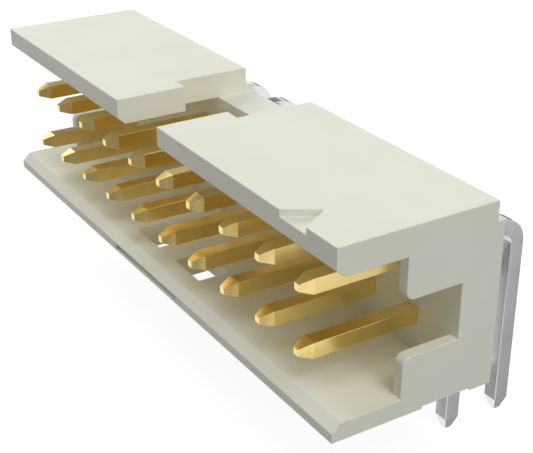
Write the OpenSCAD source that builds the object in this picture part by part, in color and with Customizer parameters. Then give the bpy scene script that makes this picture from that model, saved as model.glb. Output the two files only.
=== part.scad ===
// Right-angle shrouded pin header: two rows of square posts in a moulded housing.
// Millimetres. The board's top face is Z = 0, the mouth faces -Y, position 1 is at the +X end.

/* [Contacts] */
// Contacts in each row
columns = 10; // [4:1:25]
// Distance between neighbouring contacts of a row
pitch = 2.54; // [2:0.01:4]
// Distance between the two rows
row_pitch = 2.54; // [2:0.01:3]
// Side of the square contact wire
wire = 0.64; // [0.4:0.01:0.8]
// Length of the straight post that stands in the cavity, tip included
post_length = 5.08; // [3:0.01:8]
// Length of the taper at the tip of a post
post_taper = 0.55; // [0.2:0.01:1]
// Side of the square at the end of a post
post_end = 0.28; // [0.1:0.01:0.38]
// Radius on the inside of the bend
bend_inside = 0.5; // [0.2:0.01:0.8]
// Straight stretch of a lower contact between its wall and its bend
bend_run = 0.5; // [0.2:0.01:1]

/* [Solder tails] */
// Distance between the two rows of tails
tail_pitch = 2.54; // [2:0.01:4]
// From the rear face of the housing to the axis of the lower row's tails
tail_offset = 0.355; // [0.33:0.005:0.8]
// Length of a tail below the board's top face
tail_reach = 3.58; // [2:0.01:6]
// Length of the taper at the end of a tail
tail_taper = 0.55; // [0.2:0.01:1]
// Side of the square at the end of a tail
tail_end = 0.28; // [0.1:0.01:0.38]

/* [Housing] */
// From the axis of the last contact to the end face
end_margin = 2.54; // [2:0.01:5]
// Thickness of the floor
floor_wall = 0.75; // [0.6:0.01:1.5]
// Clear height of the cavity, with the rows at its middle
cavity_height = 5.52; // [5:0.01:8]
// Thickness of the top wall
top_wall = 1.12; // [0.9:0.01:2]
// Thickness of the end walls
end_wall = 0.45; // [0.3:0.01:1]
// Depth of the cavity from the mouth
cavity_depth = 5.28; // [4.5:0.01:8]
// Thickness of the wall that holds the lower row
back_wall = 0.775; // [0.5:0.005:2]
// How far the top wall stops short of the rear face
ledge_depth = 0.34; // [0.1:0.01:0.8]
// Drop from the top face to the ledge
ledge_drop = 0.8; // [0.3:0.01:1.1]
// Room around a contact in its hole, on each side
hole_clearance = 0.01; // [0:0.005:0.05]

/* [Lead-in] */
// Depth of the lead-in under the top wall
top_lead_depth = 0.34; // [0.1:0.01:0.8]
// Height of the lead-in under the top wall
top_lead_height = 0.3; // [0.1:0.01:0.6]
// Depth of the lead-in on the floor
floor_lead_depth = 0.38; // [0.1:0.01:0.8]
// Height of the lead-in on the floor
floor_lead_height = 0.36; // [0.1:0.01:0.45]

/* [Key slot] */
// Width of the key slot at the mouth
slot_mouth_w = 3.56; // [2.5:0.01:4.5]
// Width of the key slot behind its step
slot_rear_w = 5.16; // [4.6:0.01:6]
// From the mouth to the step in the key slot
slot_step = 3.19; // [1:0.01:4]

/* [End walls] */
// From the mouth to the front edge of the end tabs
tab_setback = 2.87; // [1:0.01:3.8]
// Height of the opening between the end tabs
end_slot_h = 2.22; // [1:0.01:3]
// Radius on the free corner of an end tab
tab_radius = 0.35; // [0.1:0.01:0.6]

/* [Floor and base] */
// Length of the floor windows along the row, at the floor's top face
window_w = 2.08; // [1.2:0.01:2.4]
// Depth of the floor windows
window_d = 1.4; // [0.8:0.01:2.5]
// From the mouth to the front edge of the windows
window_setback = 1.135; // [0.9:0.005:2]
// How far a window's side towards the middle of the row slopes in at its lower edge
window_inner_slope = 0.32; // [0:0.01:0.5]
// How far a window's side towards the end of the row slopes in at its lower edge
window_outer_slope = 0.6; // [0:0.01:0.8]
// Length of the groove under the front lip
groove_w = 5.74; // [3:0.01:8]
// Depth of the groove under the front lip
groove_d = 0.2; // [0.1:0.01:0.5]
// Thickness of the web under the groove
groove_web = 0.08; // [0.06:0.01:0.2]
// Height of the lip's face over the groove
groove_lip = 0.04; // [0.02:0.01:0.08]
// Length of the front foot, from the mouth
front_foot = 3.87; // [2:0.01:4.3]
// Height of the relief behind the front foot
relief_h = 0.1; // [0.05:0.01:0.3]
// Thickness of the end cheeks beside the rear pocket
cheek = 1.2; // [0.6:0.01:1.5]
// Room above the lower contacts in the rear pocket
pocket_headroom = 0.58; // [0.2:0.01:0.9]

/* [Position mark] */
// Width of the triangular mark at the front edge
mark_w = 1.6; // [0.8:0.01:2]
// Length of the triangular mark
mark_length = 1.25; // [0.6:0.01:2]
// Depth of the triangular mark
mark_depth = 0.27; // [0.1:0.01:0.5]

/* [Hidden] */
// Each cut runs this far past the face that it opens
past = 1;
$fn = 48;

half_length = (columns - 1) / 2 * pitch + end_margin;
pocket_depth = bend_run + bend_inside + wire / 2 - tail_offset;
body_depth = cavity_depth + back_wall + pocket_depth;

// Planes across the housing, from the mouth to the rear
front = -body_depth / 2;
rear = body_depth / 2;
back = front + cavity_depth;
pocket_face = back + back_wall;
top_rear = rear - ledge_depth;
tab_front = front + tab_setback;

// Heights above the board
floor_z = floor_wall;
ceiling_z = floor_z + cavity_height;
top_z = ceiling_z + top_wall;
ledge_z = top_z - ledge_drop;
lip_z = floor_z - floor_lead_height;
brow_z = ceiling_z + top_lead_height;
mid_z = (floor_z + ceiling_z) / 2;
lower_z = mid_z - row_pitch / 2;
pocket_z = lower_z + wire / 2 + pocket_headroom;

// Rows of contacts from the floor up, with the height of a post and the place of a tail in each
ROWS = [0, 1];
row_name = ["lower", "upper"];
function row_z(row) = lower_z + row * row_pitch;
function tail_y(row) = rear + tail_offset + row * tail_pitch;
function column_x(c) = half_length - end_margin - (c - 1) * pitch;
function contact_name(row, c) = str("contact_", row_name[row], "_", c);

COLUMNS = [1:columns];

ivory = [0.89, 0.89, 0.84];
gold = [0.83, 0.65, 0.28];
tin = [0.68, 0.68, 0.69];

// Extrudes an outline drawn in Y and Z along the row, from one X to another
module along_row(from, to) {
    translate([from, 0, 0]) rotate([90, 0, 90]) linear_extrude(to - from) children();
}

// Moulded housing

// Section through the row: floor, back wall and top wall, open at the mouth
module body_section() {
    polygon([
        [front, 0],
        [rear, 0],
        [rear, ledge_z],
        [top_rear, ledge_z],
        [top_rear, top_z],
        [front, top_z],
        [front, brow_z],
        [front + top_lead_depth, ceiling_z],
        [back, ceiling_z],
        [back, floor_z],
        [front + floor_lead_depth, floor_z],
        [front, lip_z],
    ]);
}

// One end tab standing on the floor, with its free corner rounded
module tab_outline() {
    length = back - tab_front;
    height = (cavity_height - end_slot_h) / 2;
    translate([tab_front, floor_z]) {
        difference() {
            square([length, height]);
            translate([0, height - tab_radius]) square(tab_radius);
        }
        translate([tab_radius, height - tab_radius]) circle(tab_radius);
    }
}

// The two tabs of an end wall, alike about the middle of the cavity
module end_tabs() {
    tab_outline();
    translate([0, 2 * mid_z]) mirror([0, 1]) tab_outline();
}

// Stepped slot through the top wall for the key of the mating plug
module key_slot() {
    step_y = front + slot_step;
    translate([0, 0, ceiling_z]) linear_extrude(top_wall + past) {
        translate([-slot_mouth_w / 2, front - past]) square([slot_mouth_w, slot_step + past]);
        translate([-slot_rear_w / 2, step_y]) square([slot_rear_w, rear - step_y + past]);
    }
}

// Windows in the floor, one under each edge of the slot's mouth
module floor_windows() {
    inner_x = (slot_mouth_w - window_w) / 2;
    outer_x = inner_x + window_w;
    inner_low = inner_x + window_inner_slope;
    outer_low = outer_x - window_outer_slope;
    for (side = [0, 1]) mirror([side, 0, 0])
        translate([0, front + window_setback + window_d, 0]) rotate([90, 0, 0])
            linear_extrude(window_d)
                polygon([
                    [inner_low, -past],
                    [outer_low, -past],
                    [outer_low, 0],
                    [outer_x, floor_z],
                    [outer_x, floor_z + past],
                    [inner_x, floor_z + past],
                    [inner_x, floor_z],
                    [inner_low, 0],
                ]);
}

// Groove along the middle of the front lip, with a thin web under it
module lip_groove() {
    translate([-groove_w / 2, front - past, groove_web])
        cube([groove_w, groove_d + past, lip_z - groove_lip - groove_web]);
}

// Triangle cut into the top face at position 1
module position_mark() {
    translate([column_x(1), front, top_z - mark_depth]) linear_extrude(mark_depth + past)
        polygon([[-mark_w / 2, 0], [mark_w / 2, 0], [0, mark_length]]);
}

// Relief under the body between the front foot and the rear feet
module base_relief() {
    along_row(-half_length - past, half_length + past)
        translate([front + front_foot, -past])
            square([pocket_face - front - front_foot, relief_h + past]);
}

// Pocket in the rear face between the end cheeks, for the bends of the lower row
module rear_pocket() {
    along_row(cheek - half_length, half_length - cheek)
        translate([pocket_face, -past]) square([pocket_depth + past, pocket_z + past]);
}

module contact_holes() {
    hole = wire + 2 * hole_clearance;
    for (row = ROWS, c = COLUMNS)
        translate([column_x(c) - hole / 2, back - past, row_z(row) - hole / 2])
            cube([hole, rear - back + 2 * past, hole]);
}

module housing() {
    color(ivory) difference() {
        union() {
            along_row(-half_length, half_length) body_section();
            along_row(-half_length, end_wall - half_length) end_tabs();
            along_row(half_length - end_wall, half_length) end_tabs();
        }
        key_slot();
        floor_windows();
        lip_groove();
        position_mark();
        base_relief();
        rear_pocket();
        contact_holes();
    }
}

// Contacts, each one length of square wire

// Outline of a wire that points along +Y and tapers to a flat end
module pointed_outline(length, taper, end) {
    polygon([
        [-wire / 2, 0],
        [wire / 2, 0],
        [wire / 2, length - taper],
        [end / 2, length],
        [-end / 2, length],
        [-wire / 2, length - taper],
    ]);
}

// Square wire along +Z whose four sides taper to a flat end
module pointed_wire(length, taper, end) {
    intersection() {
        rotate([90, 0, 0]) linear_extrude(wire, center = true) pointed_outline(length, taper, end);
        rotate([90, 0, 90]) linear_extrude(wire, center = true) pointed_outline(length, taper, end);
    }
}

// A post into the cavity, a right-angle bend and a tail down through the board
module contact(row, c) {
    bend_axis = bend_inside + wire / 2;
    bend_y = tail_y(row) - bend_axis;
    bend_z = row_z(row) - bend_axis;
    post_tip = back - post_length;
    translate([column_x(c), 0, 0]) union() {
        color(gold) translate([0, bend_y, row_z(row)]) rotate([90, 0, 0])
            pointed_wire(bend_y - post_tip, post_taper, post_end);
        color(tin) translate([0, bend_y, bend_z]) rotate([90, 0, 90])
            rotate_extrude(angle = 90) translate([bend_axis, 0]) square(wire, center = true);
        color(tin) translate([0, tail_y(row), bend_z]) rotate([180, 0, 0])
            pointed_wire(bend_z + tail_reach, tail_taper, tail_end);
    }
}

housing();
for (row = ROWS, c = COLUMNS)
    contact(row, c);
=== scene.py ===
"""Right-angle shrouded pin header on a white studio floor, in metres, in the part's own frame."""
import math

import bmesh
import bpy
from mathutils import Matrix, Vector


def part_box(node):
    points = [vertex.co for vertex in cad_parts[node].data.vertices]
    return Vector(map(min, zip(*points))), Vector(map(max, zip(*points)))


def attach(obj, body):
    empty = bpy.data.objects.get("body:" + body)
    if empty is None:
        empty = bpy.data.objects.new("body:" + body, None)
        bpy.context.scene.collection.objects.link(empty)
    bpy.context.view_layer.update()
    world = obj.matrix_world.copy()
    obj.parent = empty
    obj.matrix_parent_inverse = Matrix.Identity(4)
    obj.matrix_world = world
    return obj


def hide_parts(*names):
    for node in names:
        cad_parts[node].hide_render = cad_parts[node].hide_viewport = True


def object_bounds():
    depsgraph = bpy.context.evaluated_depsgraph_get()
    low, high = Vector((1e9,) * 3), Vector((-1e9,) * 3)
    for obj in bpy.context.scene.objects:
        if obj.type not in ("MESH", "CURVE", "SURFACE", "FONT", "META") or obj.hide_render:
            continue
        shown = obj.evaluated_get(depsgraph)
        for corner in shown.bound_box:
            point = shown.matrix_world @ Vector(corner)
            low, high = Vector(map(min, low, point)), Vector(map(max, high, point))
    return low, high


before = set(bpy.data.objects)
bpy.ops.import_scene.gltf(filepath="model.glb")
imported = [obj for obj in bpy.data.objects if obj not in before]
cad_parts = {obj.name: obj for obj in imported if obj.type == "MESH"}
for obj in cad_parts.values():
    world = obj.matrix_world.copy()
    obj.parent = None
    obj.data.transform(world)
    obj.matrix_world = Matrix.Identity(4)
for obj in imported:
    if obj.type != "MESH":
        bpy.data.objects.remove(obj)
cad_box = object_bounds()

MM = 0.001
ROOT = "root"

# Camera, as the photograph was taken
CAMERA_PLACE = Vector((39.54, -22.02, 23.51)) * MM
CAMERA_AIM = Vector((4.23, 0.0, 3.19)) * MM
CAMERA_LENS = 77.86
CAMERA_SENSOR = 36.0
CAMERA_NEAR = 1.0 * MM
CAMERA_FAR = 10.0

# Floor: how pale it is to light, how much it glows and shades to the eye, and where it fades to white
FLOOR_SIZE = 2.0
FLOOR_DROP = 0.01 * MM
FLOOR_ALBEDO = 0.35
FLOOR_GLOW = 0.90
FLOOR_SHADE = 0.20
FLOOR_FADE_START = 0.04
FLOOR_FADE_END = 0.25

# Lamps: name, direction from the part, width, power, whether shiny surfaces mirror it
LAMP_DISTANCE = 0.5
LAMPS = [
    ("left", (-0.84, -0.30, 0.46), 0.6, 1.08, True),
    ("left_edge", (-0.90, 0.0, 0.42), 0.3, 0.88, False),
    ("right_high", (0.50, 0.0, 0.87), 0.3, 0.92, True),
    ("right_low", (0.90, 0.0, 0.42), 0.3, 0.64, True),
    ("top", (0.0, 0.0, 1.0), 0.3, 0.12, False),
    ("front", (0.0, -0.50, 0.87), 0.3, 0.19, False),
    ("back_left", (-0.70, 0.70, 0.36), 0.3, 1.05, False),
]

# What metal mirrors: white up to one height of the sky, a dim ceiling from the other
MIRRORED_WHITE_TOP = 0.20
MIRRORED_CEILING_START = 0.35
MIRRORED_CEILING = 0.13
# Cards that it mirrors too: direction from the part, degrees where a card is full and where it ends, level
CARDS = [
    ((0.30, 0.75, -0.60), 20.0, 32.0, 0.36),
    ((0.50, 0.47, 0.73), 24.0, 32.0, 1.0),
    ((0.84, -0.40, -0.36), 18.0, 20.5, 0.22),
    ((-0.55, -0.65, -0.52), 8.0, 11.0, 0.28),
    ((-0.60, 0.65, -0.45), 25.0, 35.0, 0.15),
]
# Rays that see the white background
BACKGROUND_RAYS = ("Is Camera Ray", "Is Glossy Ray", "Is Transmission Ray")
WHITE = (1.0, 1.0, 1.0, 1.0)

# Finishes: tones from dark to light, range of roughness, and noise scales per metre
IVORY_TONES = ((0.84, 0.845, 0.73, 1.0), (0.87, 0.875, 0.76, 1.0))
IVORY_ROUGHNESS = (0.46, 0.58)
IVORY_CLOUD = 350.0
IVORY_GRAIN = 16000.0
IVORY_GRAIN_HEIGHT = 0.004 * MM
IVORY_GRAIN_STRENGTH = 0.35
GOLD_TONES = ((0.99, 0.74, 0.28, 1.0), (1.0, 0.79, 0.35, 1.0))
GOLD_ROUGHNESS = (0.17, 0.22)
TIN_TONES = ((0.78, 0.78, 0.79, 1.0), (0.81, 0.81, 0.82, 1.0))
TIN_ROUGHNESS = (0.14, 0.2)
WIRE_CLOUD = 1800.0
WIRE_STREAK = 14000.0
WIRE_STREAK_STRETCH = (1.0, 0.08, 0.08)
WIRE_STREAK_HEIGHT = 0.002 * MM
WIRE_STREAK_STRENGTH = 0.2
CLOUD_DETAIL = 3.0
FINE_DETAIL = 2.0
# Range of a noise factor over which tones and roughness vary
NOISE_LOW = 0.3
NOISE_HIGH = 0.7

# Contacts: sizes that a node's box doesn't give
BEND_INSIDE = 0.5 * MM
POINT_LENGTH = 0.55 * MM
POINT_END = 0.28 * MM
WIRE_EDGE = 0.03 * MM
POINT_EDGE = 0.008 * MM
EDGE_STEPS = 3
BEND_STEPS = 20
# The gold ends inside the wall that holds the contacts
PLATING_END = 2.2 * MM

# Housing: rounding of the mould's edges, and the places that stay sharp
MOULD_EDGE = 0.035 * MM
MOULD_EDGE_STEPS = 3
FLAT_ANGLE = math.radians(0.5)
SHARP_ANGLE = math.radians(30)
HOLE_ROOM = 0.05 * MM
GROOVE_LOW = Vector((-3.0, -3.6, 0.05)) * MM
GROOVE_HIGH = Vector((3.0, -3.2, 0.37)) * MM
WELD = 0.0005 * MM


# Shader nodes

def new_material(name):
    """A node material with its Principled shader."""
    material = bpy.data.materials.new(name)
    material.use_nodes = True
    return material, material.node_tree, material.node_tree.nodes["Principled BSDF"]


def add(tree, kind, **sockets):
    """A node of this kind, with its input values set by socket name."""
    node = tree.nodes.new(kind)
    for name, value in sockets.items():
        node.inputs[name.replace("_", " ")].default_value = value
    return node


def noise(tree, vector, scale, detail):
    """A noise factor at the point that the vector gives."""
    node = add(tree, "ShaderNodeTexNoise", Scale=scale, Detail=detail)
    tree.links.new(vector, node.inputs["Vector"])
    return node.outputs["Fac"]


def ramp(tree, factor, tones, start=NOISE_LOW, end=NOISE_HIGH):
    """Blends from one tone to another between two values of the factor."""
    node = tree.nodes.new("ShaderNodeValToRGB")
    for element, position, tone in zip(node.color_ramp.elements, (start, end), tones):
        element.position = position
        element.color = tone
    tree.links.new(factor, node.inputs["Fac"])
    return node.outputs["Color"]


def spread(tree, factor, values):
    """Maps a noise factor to a range of plain numbers."""
    low, high = values
    node = add(
        tree, "ShaderNodeMapRange", From_Min=NOISE_LOW, From_Max=NOISE_HIGH, To_Min=low, To_Max=high,
    )
    tree.links.new(factor, node.inputs["Value"])
    return node.outputs["Result"]


def blend(tree, factor, low, high):
    """A number between two others, each a plain value or an output."""
    node = tree.nodes.new("ShaderNodeMapRange")
    tree.links.new(factor, node.inputs["Value"])
    for name, value in (("To Min", low), ("To Max", high)):
        if isinstance(value, float):
            node.inputs[name].default_value = value
        else:
            tree.links.new(value, node.inputs[name])
    return node.outputs["Result"]


def bump(tree, shader, height, distance, strength):
    """Gives the shader fine relief from a height factor."""
    node = add(tree, "ShaderNodeBump", Strength=strength, Distance=distance)
    tree.links.new(height, node.inputs["Height"])
    tree.links.new(node.outputs["Normal"], shader.inputs["Normal"])


def place(tree, stretch=(1.0, 1.0, 1.0)):
    """The point in the part's frame, scaled along the axes."""
    coordinates = tree.nodes.new("ShaderNodeTexCoord")
    mapping = add(tree, "ShaderNodeMapping", Scale=stretch)
    tree.links.new(coordinates.outputs["Object"], mapping.inputs["Vector"])
    return mapping.outputs["Vector"]


def ray_kinds(tree, *names):
    """1 for rays of the named kinds, 0 for the rest."""
    path = tree.nodes.new("ShaderNodeLightPath")
    total = path.outputs[names[0]]
    for name in names[1:]:
        larger = tree.nodes.new("ShaderNodeMath")
        larger.operation = "MAXIMUM"
        tree.links.new(total, larger.inputs[0])
        tree.links.new(path.outputs[name], larger.inputs[1])
        total = larger.outputs[0]
    return total


# Materials

def ivory_plastic():
    """Moulded plastic with faint clouds of tone and a fine grain."""
    material, tree, shader = new_material("ivory_plastic")
    point = place(tree)
    cloud = noise(tree, point, IVORY_CLOUD, CLOUD_DETAIL)
    grain = noise(tree, point, IVORY_GRAIN, FINE_DETAIL)
    tree.links.new(ramp(tree, cloud, IVORY_TONES), shader.inputs["Base Color"])
    tree.links.new(spread(tree, grain, IVORY_ROUGHNESS), shader.inputs["Roughness"])
    bump(tree, shader, grain, IVORY_GRAIN_HEIGHT, IVORY_GRAIN_STRENGTH)
    return material


def plated_metal(name, tones, roughness):
    """Plating on drawn wire, with faint clouds of tone and streaks along the wire."""
    material, tree, shader = new_material(name)
    shader.inputs["Metallic"].default_value = 1.0
    streak = noise(tree, place(tree, WIRE_STREAK_STRETCH), WIRE_STREAK, FINE_DETAIL)
    cloud = noise(tree, place(tree), WIRE_CLOUD, CLOUD_DETAIL)
    tree.links.new(ramp(tree, cloud, tones), shader.inputs["Base Color"])
    tree.links.new(spread(tree, streak, roughness), shader.inputs["Roughness"])
    bump(tree, shader, streak, WIRE_STREAK_HEIGHT, WIRE_STREAK_STRENGTH)
    return material


def grey(level):
    return (level, level, level, 1.0)


def floor_paint():
    """White floor that keeps a faint shadow and fades into the backdrop."""
    material, tree, shader = new_material("studio_floor")
    direct = ray_kinds(tree, *BACKGROUND_RAYS)
    tone = ramp(tree, direct, (grey(FLOOR_ALBEDO), grey(FLOOR_SHADE)), start=0.0, end=1.0)
    tree.links.new(tone, shader.inputs["Base Color"])
    shader.inputs["Roughness"].default_value = 1.0
    shader.inputs["Specular IOR Level"].default_value = 0.0
    shader.inputs["Emission Color"].default_value = WHITE
    distance = tree.nodes.new("ShaderNodeVectorMath")
    distance.operation = "LENGTH"
    tree.links.new(place(tree), distance.inputs[0])
    glow = add(
        tree, "ShaderNodeMapRange", From_Min=FLOOR_FADE_START, From_Max=FLOOR_FADE_END,
        To_Min=FLOOR_GLOW, To_Max=1.0,
    )
    tree.links.new(distance.outputs["Value"], glow.inputs["Value"])
    strength = blend(tree, direct, 0.0, glow.outputs["Result"])
    tree.links.new(strength, shader.inputs["Emission Strength"])
    return material


# Studio

def mirrored_studio(tree, direction):
    """The level that metal mirrors in each direction."""
    parts = tree.nodes.new("ShaderNodeSeparateXYZ")
    tree.links.new(direction, parts.inputs["Vector"])
    fade = add(
        tree, "ShaderNodeMapRange", From_Min=MIRRORED_WHITE_TOP, From_Max=MIRRORED_CEILING_START,
        To_Min=1.0, To_Max=MIRRORED_CEILING,
    )
    tree.links.new(parts.outputs["Z"], fade.inputs["Value"])
    level = fade.outputs["Result"]
    for towards, full, end, card_level in CARDS:
        facing = tree.nodes.new("ShaderNodeVectorMath")
        facing.operation = "DOT_PRODUCT"
        tree.links.new(direction, facing.inputs[0])
        facing.inputs[1].default_value = Vector(towards).normalized()
        share = add(
            tree, "ShaderNodeMapRange",
            From_Min=math.cos(math.radians(end)), From_Max=math.cos(math.radians(full)),
        )
        tree.links.new(facing.outputs["Value"], share.inputs["Value"])
        level = blend(tree, share.outputs["Result"], level, card_level)
    return level


def studio_world():
    """White to the eye, the mirrored studio to metal, and dark as a light."""
    world = bpy.data.worlds.new("studio")
    bpy.context.scene.world = world
    world.use_nodes = True
    tree = world.node_tree
    backdrop = tree.nodes["Background"]
    backdrop.inputs["Color"].default_value = WHITE
    coordinates = tree.nodes.new("ShaderNodeTexCoord")
    mirrored = mirrored_studio(tree, coordinates.outputs["Generated"])
    seen = blend(tree, ray_kinds(tree, "Is Camera Ray"), mirrored, 1.0)
    direct = ray_kinds(tree, *BACKGROUND_RAYS)
    tree.links.new(blend(tree, direct, 0.0, seen), backdrop.inputs["Strength"])


def studio_floor():
    """One face just under the tails, in whose place metal mirrors the white of the world."""
    half = FLOOR_SIZE / 2
    height = cad_box[0].z - FLOOR_DROP
    outline = ((-half, -half), (half, -half), (half, half), (-half, half))
    mesh = bpy.data.meshes.new("floor")
    mesh.from_pydata([(x, y, height) for x, y in outline], [], [(0, 1, 2, 3)])
    mesh.materials.append(floor_paint())
    floor = bpy.data.objects.new("floor", mesh)
    floor.visible_glossy = False
    bpy.context.scene.collection.objects.link(floor)


def studio_lamps():
    for name, towards, width, power, is_mirrored in LAMPS:
        lamp = bpy.data.lights.new(name, "AREA")
        lamp.shape = "DISK"
        lamp.size = width
        lamp.energy = power
        light = bpy.data.objects.new(name, lamp)
        light.location = Vector(towards).normalized() * LAMP_DISTANCE
        light.rotation_euler = (-light.location).to_track_quat("-Z", "Y").to_euler()
        light.visible_camera = False
        light.visible_glossy = is_mirrored
        bpy.context.scene.collection.objects.link(light)


def camera():
    data = bpy.data.cameras.new("camera")
    data.lens = CAMERA_LENS
    data.sensor_width = CAMERA_SENSOR
    data.sensor_fit = "HORIZONTAL"
    data.clip_start = CAMERA_NEAR
    data.clip_end = CAMERA_FAR
    view = bpy.data.objects.new("camera", data)
    view.location = CAMERA_PLACE
    view.rotation_euler = (CAMERA_AIM - CAMERA_PLACE).to_track_quat("-Z", "Y").to_euler()
    bpy.context.scene.collection.objects.link(view)
    bpy.context.scene.camera = view


# Pieces

def corner_normal(corner):
    """Mean normal, by area, of the faces that meet smoothly round one corner of a face."""
    around = [corner.face]
    for face in around:
        for edge in corner.vert.link_edges:
            if edge.smooth and face in edge.link_faces:
                around += [other for other in edge.link_faces if other not in around]
    total = Vector()
    for face in around:
        total += face.normal * (face.calc_area() / MM ** 2)
    return total.normalized()


def finish_piece(name, form, node, materials):
    """Makes a form a piece that stands for a CAD node, with flat faces shaded flat up to their edges."""
    form.normal_update()
    for face in form.faces:
        face.smooth = True
    normals = [corner_normal(corner) for face in form.faces for corner in face.loops]
    mesh = bpy.data.meshes.new(name)
    form.to_mesh(mesh)
    form.free()
    mesh.normals_split_custom_set(normals)
    for material in materials:
        mesh.materials.append(material)
    piece = bpy.data.objects.new(name, mesh)
    bpy.context.scene.collection.objects.link(piece)
    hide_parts(node)
    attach(piece, ROOT)


def contact_nodes():
    return [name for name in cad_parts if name.startswith("contact_")]


def crisp_boxes():
    """Boxes in which the housing's edges stay sharp: the lip's groove and the holes round the contacts."""
    boxes = [(GROOVE_LOW, GROOVE_HIGH)]
    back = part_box("housing")[1].y
    for node in contact_nodes():
        low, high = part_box(node)
        side = high.x - low.x
        corner = Vector((low.x - HOLE_ROOM, low.y, high.z - side - HOLE_ROOM))
        opposite = Vector((high.x + HOLE_ROOM, back + HOLE_ROOM, high.z + HOLE_ROOM))
        boxes.append((corner, opposite))
    return boxes


def is_inside(point, low, high):
    return all(low[axis] <= point[axis] <= high[axis] for axis in range(3))


def moulded_housing(material):
    """The housing with its edges rounded as a mould leaves them."""
    form = bmesh.new()
    form.from_mesh(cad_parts["housing"].data)
    bmesh.ops.remove_doubles(form, verts=form.verts, dist=WELD)
    bmesh.ops.dissolve_limit(form, angle_limit=FLAT_ANGLE, verts=form.verts, edges=form.edges)
    boxes = crisp_boxes()
    sharp = [
        edge for edge in form.edges
        if edge.calc_face_angle(0.0) > SHARP_ANGLE
        and not any(all(is_inside(v.co, low, high) for v in edge.verts) for low, high in boxes)
    ]
    bmesh.ops.bevel(
        form, geom=sharp, offset=MOULD_EDGE, offset_type="OFFSET", segments=MOULD_EDGE_STEPS,
        profile=0.5, affect="EDGES", clamp_overlap=False, loop_slide=True,
    )
    for edge in form.edges:
        edge.smooth = edge.calc_face_angle(0.0) < SHARP_ANGLE
    finish_piece("header_housing", form, "housing", [material])


def section(half, edge):
    """Square with rounded corners, as pairs of numbers, anticlockwise."""
    points = []
    inset = half - edge
    for corner in range(4):
        turn = corner * math.pi / 2
        for step in range(EDGE_STEPS + 1):
            angle = turn + step / EDGE_STEPS * math.pi / 2
            across = inset * math.copysign(1, math.cos(turn + math.pi / 4)) + edge * math.cos(angle)
            up = inset * math.copysign(1, math.sin(turn + math.pi / 4)) + edge * math.sin(angle)
            points.append((across, up))
    return points


def pointed_end(tip, along, normal, half):
    """Rings of a pointed end, from the tip inwards."""
    return [
        (tip, normal, POINT_END / 2, POINT_EDGE),
        (tip + along * POINT_LENGTH, normal, half, POINT_EDGE),
        (tip + along * (POINT_LENGTH + WIRE_EDGE), normal, half, WIRE_EDGE),
    ]


def wire_rings(low, high):
    """Rings along a contact, post tip to tail tip: centre, axis across, half width, edge radius."""
    half = (high.x - low.x) / 2
    middle = (high.x + low.x) / 2
    post_z = high.z - half
    tail_y = high.y - half
    radius = BEND_INSIDE + half
    bend_centre = Vector((middle, tail_y - radius, post_z - radius))
    up = Vector((0, 0, 1))
    back = Vector((0, 1, 0))
    rings = pointed_end(Vector((middle, low.y, post_z)), back, up, half)
    rings.append((Vector((middle, PLATING_END, post_z)), up, half, WIRE_EDGE))
    for step in range(BEND_STEPS + 1):
        angle = step / BEND_STEPS * math.pi / 2
        normal = Vector((0, math.sin(angle), math.cos(angle)))
        rings.append((bend_centre + normal * radius, normal, half, WIRE_EDGE))
    rings += reversed(pointed_end(Vector((middle, tail_y, low.z)), up, back, half))
    return rings


def formed_contact(node, gold, tin):
    """One square wire with pointed ends and a bend, gold up to the plating's end and tin behind it."""
    low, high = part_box(node)
    side = Vector((1, 0, 0))
    form = bmesh.new()
    loops = []
    for centre, normal, half, edge in wire_rings(low, high):
        loops.append([form.verts.new(centre + side * a + normal * b) for a, b in section(half, edge)])
    for near, far in zip(loops, loops[1:]):
        count = len(near)
        for i in range(count):
            j = (i + 1) % count
            form.faces.new((near[i], near[j], far[j], far[i]))
    form.faces.new(list(reversed(loops[0])))
    form.faces.new(loops[-1])
    bmesh.ops.recalc_face_normals(form, faces=form.faces)
    for loop in loops[:2] + loops[-2:]:
        for start, end in zip(loop, loop[1:] + loop[:1]):
            form.edges.get((start, end)).smooth = False
    for face in form.faces:
        face.material_index = 0 if face.calc_center_median().y < PLATING_END else 1
    finish_piece(node.replace("contact", "header_contact"), form, node, [gold, tin])


bpy.context.scene.view_settings.view_transform = "Standard"
camera()
studio_world()
studio_floor()
studio_lamps()
moulded_housing(ivory_plastic())
gold_plate = plated_metal("gold_plate", GOLD_TONES, GOLD_ROUGHNESS)
tin_plate = plated_metal("tin_plate", TIN_TONES, TIN_ROUGHNESS)
for node_name in contact_nodes():
    formed_contact(node_name, gold_plate, tin_plate)
